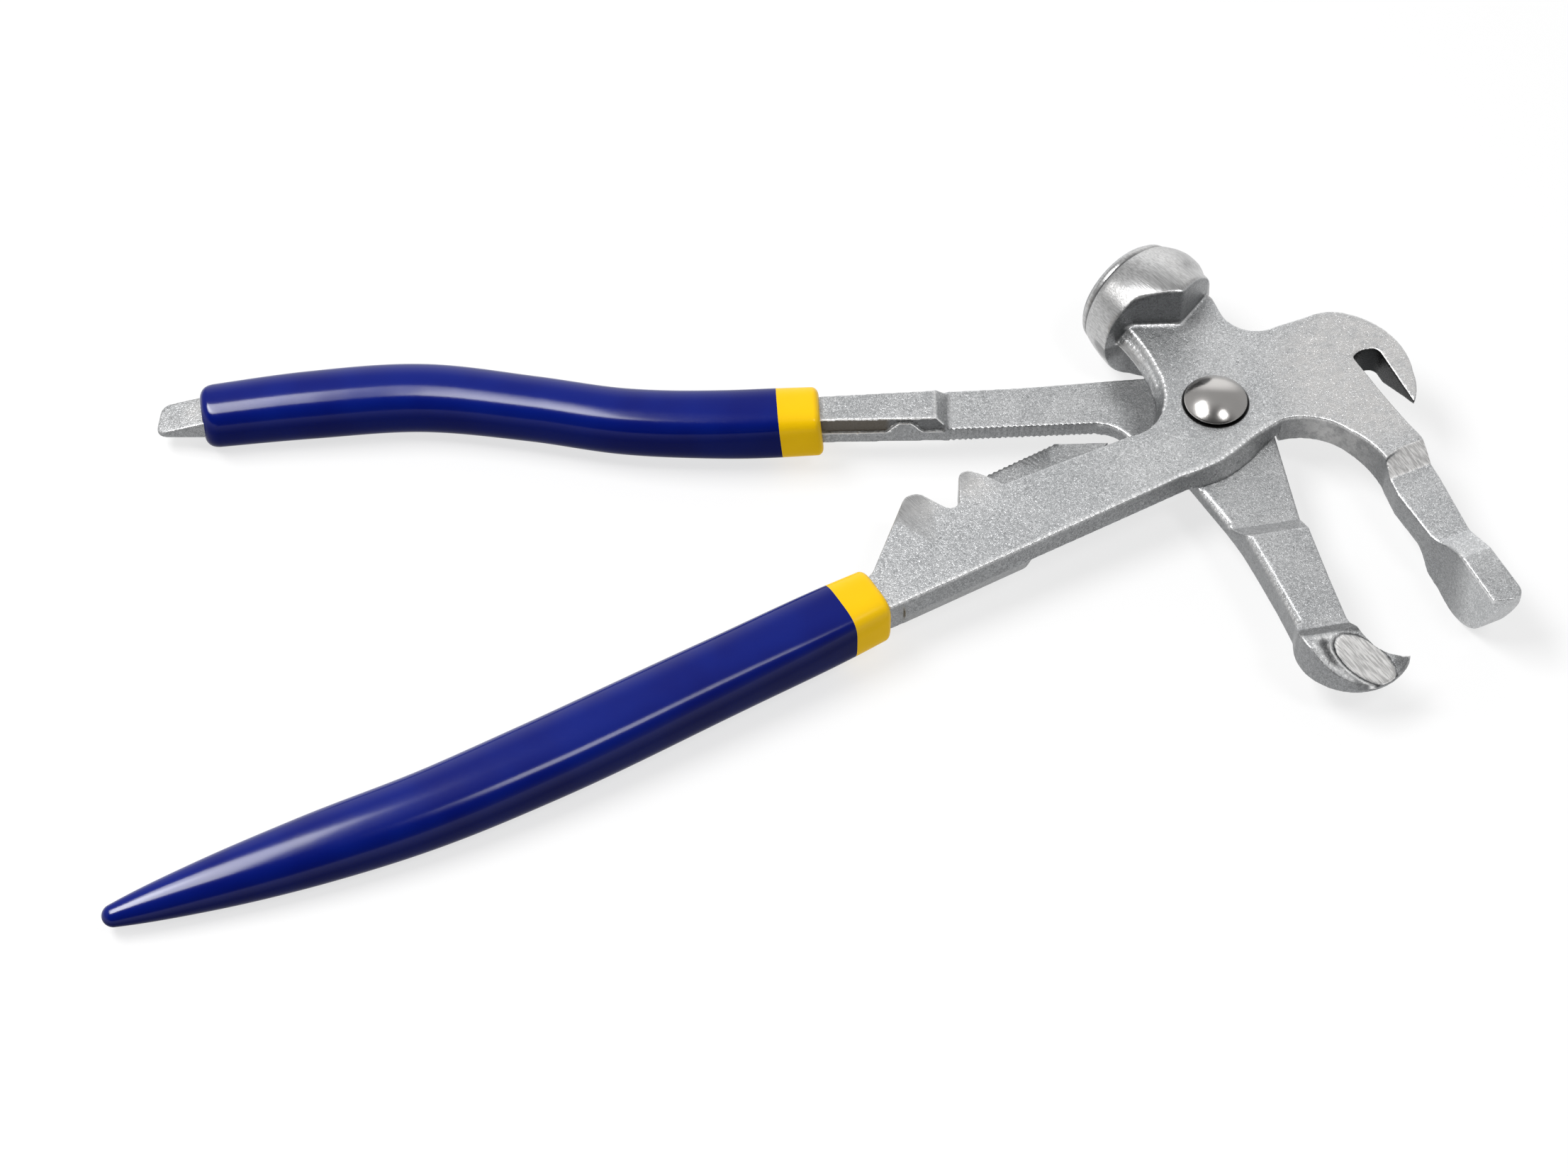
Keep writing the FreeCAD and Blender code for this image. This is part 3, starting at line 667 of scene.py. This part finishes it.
def rear_lever():
    """Rear forging: tang, shank, arm, eye, claw leg and claw."""
    skin = skin_of("rear_lever")
    crisp = np.maximum(beside(skin.at, ARM_TEETH, 0.8, 1.6), beside(skin.at, CLAW_TIP, 1.0, 2.5))
    skin.smooth(9, 1 - crisp)
    facing = skin.normals()
    recess = shank_recess(skin.at, facing)
    skin.push(-RECESS_DEPTH * recess)

    teeth = beside(skin.at, ARM_TEETH, 0.9, 1.3)
    oval = oval_share(skin.at)
    lower_left = step(0.8, 3.6, (skin.at[:, :2] - OVAL_CENTRE) @ OVAL_LOWER_LEFT)
    shank_edge = flash(skin.at, *SHANK_EDGE)
    lines = shank_edge + 0.5 * flash(skin.at, *TOOTH_EDGE) * step(0.2, 0.6, facing[:, 2])
    lines += sum(flash(skin.at, *line) for line in REAR_FLASH)
    lines += hump(1.17, 0.05, oval) * lower_left
    skin.push(SHANK_FLASH_HEIGHT * shank_edge - OVAL_LINE_DEPTH * hump(1.0, 0.06, oval))

    skin.paint(edge=skin.edges_out() * (1 - teeth),
               flash=np.clip(lines, 0, 1),
               hollow=rear_hollows(skin.at, oval, lower_left, recess),
               ground=step(1.0, 0.96, oval),
               tan=0.8 * recess * step(-63.5, -65.0, skin.at[:, 0]),
               wall=wall_share(skin.normals()))
    steel = Steel("rear_steel", REAR_BRUSHED, jaw_shading=0.80, handle_shading=0.84)
    skin.forging("rear_forging", "rear_half", "rear_steel", "rear_lever", steel.material)


# ------------------------------------------------------------------ rivet

RIVET_SHANK = 3.5
RIVET_TAIL = 4.95
RIVET_COLLAR = 5.5
RIVET_HEAD = 6.2
RIVET_RIM = FULL + 0.35           # height of the head's underside
RIVET_STEEL = (grey(0.44, 0.03), grey(0.52, 0.03))
# painted shade low on the rivet, under its head
RIVET_SHADE = grey(0.03)
RIVET_ROUGH = (0.17, 0.23)


def turned(name, profile, around=128):
    """Solid of revolution about the rivet's axis, from (radius, height) pairs."""
    work = bmesh.new()
    angles = [2 * math.pi * i / around for i in range(around)]
    rings = []
    for radius, height in profile:
        if radius == 0:
            rings.append([work.verts.new((0, 0, height * MM))])
        else:
            rings.append([work.verts.new((radius * MM * math.cos(a), radius * MM * math.sin(a),
                                          height * MM)) for a in angles])
    for low, high in zip(rings, rings[1:]):
        for i in range(around):
            j = (i + 1) % around
            corners = [low[i % len(low)], low[j % len(low)],
                       high[j % len(high)], high[i % len(high)]]
            work.faces.new(list(dict.fromkeys(corners)))
    bmesh.ops.recalc_face_normals(work, faces=work.faces)
    mesh = bpy.data.meshes.new(name)
    work.to_mesh(mesh)
    work.free()
    mesh.polygons.foreach_set("use_smooth", [True] * len(mesh.polygons))
    return placed(name, mesh)


def rivet_dome(crown, slices=24):
    """Arc of the head's cap, from its edge up to the crown."""
    height = crown - RIVET_RIM - 0.5
    ball = (RIVET_HEAD ** 2 + height ** 2) / (2 * height)
    slope = math.asin(RIVET_HEAD / ball)
    turns = [slope * (1 - i / slices) for i in range(slices)]
    arc = [(ball * math.sin(turn), crown - ball + ball * math.cos(turn)) for turn in turns]
    return arc + [(0, crown)]


def rivet_material():
    """Polished steel, finely marked, with painted shade in the narrow space under the head."""
    r = Recipe("rivet_steel")
    marks = r.noise(0.9, 4.0)
    height = r.vector("DOT_PRODUCT", r.place, (0, 0, 1))
    in_gap = r.between(RIVET_RIM + 0.45, RIVET_RIM + 0.25, height)
    return r.finish(Base_Color=r.tint(in_gap, r.tint(r.noise(6.0), *RIVET_STEEL), RIVET_SHADE),
                    Metallic=1.0, Roughness=r.blend(marks, *RIVET_ROUGH),
                    Normal=r.bump(marks, 0.006))


def rivet():
    """Polished domed rivet that stands a hair proud of the plate on a narrow collar."""
    tail = [(0, 0), (RIVET_TAIL - 0.25, 0), (RIVET_TAIL, 0.1), (RIVET_SHANK, 1.25)]
    collar = [(RIVET_SHANK, FULL - 0.1), (RIVET_COLLAR, FULL - 0.1), (RIVET_COLLAR, RIVET_RIM)]
    rim = [(RIVET_HEAD - 0.15, RIVET_RIM), (RIVET_HEAD, RIVET_RIM + 0.12),
           (RIVET_HEAD + 0.03, RIVET_RIM + 0.3)]
    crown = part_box("pivot_rivet")[1].z / MM
    piece = turned("rivet", tail + collar + rim + rivet_dome(crown))
    piece.data.materials.append(rivet_material())
    stand_in(piece, "front_half", "pivot_rivet")


# ------------------------------------------------------------------ grips

FRONT_HANDLE = [(-67.0, -47.1), (-98.5, -65.6), (-130.0, -84.0), (-150.0, -94.6),
                (-170.0, -103.3), (-207.7, -118.6)]
REAR_HANDLE = [(-77.4, -1.9), (-97.0, -2.8), (-116.0, -2.0), (-134.0, 1.2),
               (-156.0, 4.0), (-178.0, 2.2), (-199.1, -0.95)]
FRONT_JOINT = 0.052               # share of the handle's length at which the collar ends
REAR_JOINT = 0.067
# Share of the handle's length, half width, half height and roundness of the corners.
FRONT_SIZES = [(0.0, 6.0, 6.0, 0.55), (FRONT_JOINT, 6.5, 6.2, 0.6), (0.2, 7.1, 6.5, 0.75),
               (0.4, 7.5, 6.6, 0.8), (0.58, 7.3, 6.4, 0.85), (0.76, 6.4, 5.7, 0.9),
               (0.88, 4.7, 4.4, 0.95), (0.97, 2.7, 2.6, 1.0), (1.0, 1.75, 1.75, 1.0)]
REAR_SIZES = [(0.0, 5.5, 5.9, 0.55), (REAR_JOINT, 5.7, 6.1, 0.6), (0.25, 5.9, 6.1, 0.75),
              (0.45, 5.9, 6.1, 0.8), (0.65, 6.2, 6.3, 0.8), (0.82, 6.2, 6.2, 0.8),
              (1.0, 5.7, 5.7, 0.8)]
REAR_LEAN = 0.09                  # slope of the rear collar's end, which fades along the grip
CIRCLE_CORNER = 0.293             # share of a square's half diagonal that its circle cuts off
RING_POINTS = 96
THINNEST = 0.01                   # half width that an end is never drawn in beyond

BLUE = ((0.0002, 0.0022, 0.056, 1), (0.0003, 0.0038, 0.070, 1))
YELLOW = ((0.75, 0.455, 0.001, 1), (0.79, 0.485, 0.0013, 1))
BLUE_ROUGH = 0.15
YELLOW_ROUGH = 0.22


def flowing(knots, values, wanted):
    """Smooth curve through values set at knots, read off at the wanted places."""
    knots = np.array(knots, float)
    values = np.array(values, float)
    slopes = np.gradient(values, knots, axis=0)
    i = np.clip(np.searchsorted(knots, wanted) - 1, 0, len(knots) - 2)
    span = knots[i + 1] - knots[i]
    t = ((wanted - knots[i]) / span)[:, None]
    span = span[:, None]
    return ((2 * t ** 3 - 3 * t ** 2 + 1) * values[i] + (t ** 3 - 2 * t ** 2 + t) * span * slopes[i]
            + (3 * t ** 2 - 2 * t ** 3) * values[i + 1] + (t ** 3 - t ** 2) * span * slopes[i + 1])


class Handle:
    """A handle's centre line and sizes, read by share of its length."""

    def __init__(self, points, sizes, lean=0.0):
        steps = np.linalg.norm(np.diff(points, axis=0), axis=1)
        self.length = steps.sum()
        self.knots = np.concatenate([[0], np.cumsum(steps)]) / self.length
        self.points = points
        self.sizes = np.array(sizes)
        self.lean = lean

    def headings(self, shares, nudge=0.002):
        """Unit directions of the centre line."""
        ahead = flowing(self.knots, self.points, shares + nudge)
        behind = flowing(self.knots, self.points, shares - nudge)
        return (ahead - behind) / np.linalg.norm(ahead - behind, axis=1)[:, None]

    def rings(self, shares, tucks):
        """Rounded upright rings; each is drawn in by its side and height tucks, in mm."""
        shares = np.array(shares)
        middle = flowing(self.knots, self.points, shares)
        sizes = flowing(self.sizes[:, 0], self.sizes[:, 1:], np.clip(shares, 0, 1))
        turn = np.linspace(0, 2 * math.pi, RING_POINTS, endpoint=False)
        out = []
        for share, place, heading, (half, tall, roundness), (side_in, tall_in) in zip(
                shares, middle, self.headings(shares), sizes, tucks):
            power = -math.log(2) / math.log(1 - CIRCLE_CORNER * min(roundness, 1.0))
            across = np.sign(np.cos(turn)) * np.abs(np.cos(turn)) ** (2 / power)
            up = np.sign(np.sin(turn)) * np.abs(np.sin(turn)) ** (2 / power)
            side = np.array((heading[1], -heading[0]))
            height = up * max(tall - tall_in, THINNEST)
            flat = place + np.outer(across * max(half - side_in, THINNEST), side)
            flat += np.outer(self.lean * (1 - share) * height, heading)
            out.append(np.column_stack([flat, LAYER + height]))
        return out


def plain(first, last, count):
    """Evenly spread stations with no tuck."""
    return [(share, (0.0, 0.0)) for share in np.linspace(first, last, count)]


def rounded_end(share, inwards, radius, length, tall_radius=None, slices=14):
    """Stations that round off an end; inwards is the side that the body lies on."""
    tall_radius = tall_radius or radius
    stations = []
    for i in range(slices + 1):
        turn = math.pi / 2 * i / slices
        depth = radius * (1 - math.sin(turn))
        edge = max(tall_radius - depth, 0) / tall_radius
        side_in = radius * (1 - math.cos(turn))
        tall_in = tall_radius * (1 - math.sqrt(1 - edge ** 2))
        stations.append((share + inwards * depth / length, (side_in, tall_in)))
    return stations


def sleeve(side, part, handle, stations, material):
    """Closed skin through rings at the stations, smooth apart from its flat ends."""
    node = side + "_" + part
    name = node + "_skin"
    shares, tucks = zip(*stations)
    work = bmesh.new()
    loops = [[work.verts.new(point * MM) for point in ring]
             for ring in handle.rings(shares, tucks)]
    for low, high in zip(loops, loops[1:]):
        for i in range(RING_POINTS):
            j = (i + 1) % RING_POINTS
            work.faces.new((low[i], low[j], high[j], high[i])).smooth = True
    for loop in (loops[0], loops[-1]):
        cap = work.faces.new(loop)
        for edge in cap.edges:
            edge.smooth = False
    bmesh.ops.recalc_face_normals(work, faces=work.faces)
    mesh = bpy.data.meshes.new(name)
    work.to_mesh(mesh)
    work.free()
    mesh.materials.append(material)
    piece = placed(name, mesh)
    stand_in(piece, side + "_half", node)
    return piece


def vinyl_material(name, colours, roughness):
    """Glossy dipped vinyl: faint swells and fine marks, with more gloss where it faces up."""
    r = Recipe(name)
    swell = r.noise(14.0)
    fine = r.noise(0.7, 3.0)
    normal = r.node("NewGeometry").outputs["Normal"]
    facing_up = r.between(0.05, 0.55, r.vector("DOT_PRODUCT", normal, (0, 0, 1)))
    return r.finish(Base_Color=r.tint(r.between(0.3, 0.7, swell), *colours),
                    Roughness=r.blend(fine, roughness, roughness + 0.05),
                    Specular_IOR_Level=r.blend(facing_up, 0.03, 0.24),
                    Normal=r.bump(swell, 0.05, r.bump(fine, 0.002)))


def handles():
    """Blue grips and the yellow collars that close them towards the head; returns the grips."""
    blue = vinyl_material("blue_vinyl", BLUE, BLUE_ROUGH)
    yellow = vinyl_material("yellow_vinyl", YELLOW, YELLOW_ROUGH)
    front = Handle(FRONT_HANDLE, FRONT_SIZES)
    rear = Handle(REAR_HANDLE, REAR_SIZES, REAR_LEAN)
    for side, handle, joint in (("front", front, FRONT_JOINT), ("rear", rear, REAR_JOINT)):
        head_end = rounded_end(0, 1, 1.3, handle.length)[::-1]
        sleeve(side, "collar", handle, head_end + plain(0.02, joint, 6), yellow)
    tip = rounded_end(1, -1, 1.7, front.length)
    tang_end = rounded_end(1, -1, 3.0, rear.length, tall_radius=1.6)
    return [sleeve("front", "grip", front, plain(FRONT_JOINT, 0.985, 90) + tip, blue),
            sleeve("rear", "grip", rear, plain(REAR_JOINT, 0.97, 80) + tang_end, blue)]


# ------------------------------------------------------------------ camera, lights and floor

CAMERA_TARGET = Vector((-84.684, -40.605, 0)) * MM
CAMERA_DISTANCE = 835.644 * MM
CAMERA_ELEVATION = math.radians(52.5)

OVER_HANDLES = (-0.50, -0.03, 0.86)
OVER_JAWS = (0.32, -0.32, 0.88)

HORIZON_LEVEL = 0.55
CEILING_LEVEL = 0.52
GLOW_TOWARDS = (0.08, 0.96, 0.26)
GLOW_LEVEL = 1.4
VIEWER_TOWARDS = (0, -0.8, 0.6)
VIEWER_LEVEL = 0.08

FLOOR_UP = Vector((0.0342, 0.0168, 0.9993)).normalized()
FOOT_CONTACT = Vector((44.6, -38.1, -10.75)) * MM
FLOOR_HALF = 3.0


def add_camera():
    """Long lens, looking down at the pliers from the front lever's side."""
    data = bpy.data.cameras.new("camera")
    data.lens = 100
    data.sensor_width = 36
    camera = placed("camera", data)
    back = Vector((0, -math.cos(CAMERA_ELEVATION), math.sin(CAMERA_ELEVATION)))
    camera.location = CAMERA_TARGET + back * CAMERA_DISTANCE
    camera.rotation_euler = (math.pi / 2 - CAMERA_ELEVATION, 0, 0)
    bpy.context.scene.camera = camera


def add_softbox(name, direction, distance, width, height, radiance, pieces=()):
    """Rectangular lamp that faces the pliers from a direction; it may light some pieces only."""
    data = bpy.data.lights.new(name, "AREA")
    data.shape = "RECTANGLE"
    data.size = width
    data.size_y = height
    data.energy = radiance * math.pi * width * height
    lamp = placed(name, data)
    aim = Vector(direction).normalized()
    lamp.location = aim * distance
    lamp.rotation_euler = aim.to_track_quat("Z", "Y").to_euler()
    if pieces:
        lit = bpy.data.collections.new(name + "_lit")
        for piece in pieces:
            lit.objects.link(piece)
        lamp.light_linking.receiver_collection = lit


def add_world():
    """Even grey room that glows beyond the pliers and is dark on the viewer's side."""
    world = bpy.data.worlds.new("room")
    world.use_nodes = True
    w = Wiring(world.node_tree)
    coords = w.node("TexCoord").outputs["Generated"]

    def towards(direction):
        return w.vector("DOT_PRODUCT", coords, Vector(direction).normalized())

    level = w.blend(w.between(0.05, 0.6, towards((0, 0, 1))), HORIZON_LEVEL, CEILING_LEVEL)
    level = w.blend(w.between(0.80, 1.0, towards(GLOW_TOWARDS)), level, GLOW_LEVEL)
    level = w.blend(w.between(0.45, 0.85, towards(VIEWER_TOWARDS)), level, VIEWER_LEVEL)
    w.wire(level, w.tree.nodes["Background"].inputs["Color"])
    bpy.context.scene.world = world


def add_floor():
    """Pale floor with a glow of its own, tilted to touch the foot pad, hammer and front grip."""
    mesh = bpy.data.meshes.new("floor")
    corners = [(x * FLOOR_HALF, y * FLOOR_HALF, 0) for x, y in ((-1, -1), (1, -1), (1, 1), (-1, 1))]
    mesh.from_pydata(corners, [], [(0, 1, 2, 3)])
    floor = placed("floor", mesh)
    floor.location = FOOT_CONTACT
    floor.rotation_euler = FLOOR_UP.to_track_quat("Z", "Y").to_euler()
    r = Recipe("floor")
    mesh.materials.append(r.finish(Base_Color=grey(0.24), Roughness=0.9, Specular_IOR_Level=0.0,
                                   Emission_Color=grey(1.0), Emission_Strength=0.70))


front_lever()
rear_lever()
rivet()
blue_grips = handles()
add_camera()
add_world()
add_softbox("softbox_left", OVER_HANDLES, distance=1.20, width=0.64, height=0.36, radiance=18.0)
add_softbox("softbox_right", OVER_JAWS, distance=1.20, width=0.24, height=0.28, radiance=15.0)
add_softbox("strip_over_grips", OVER_HANDLES, distance=0.60, width=0.44, height=0.22,
            radiance=20.0, pieces=blue_grips)
add_floor()
bpy.context.scene.view_settings.view_transform = "Standard"
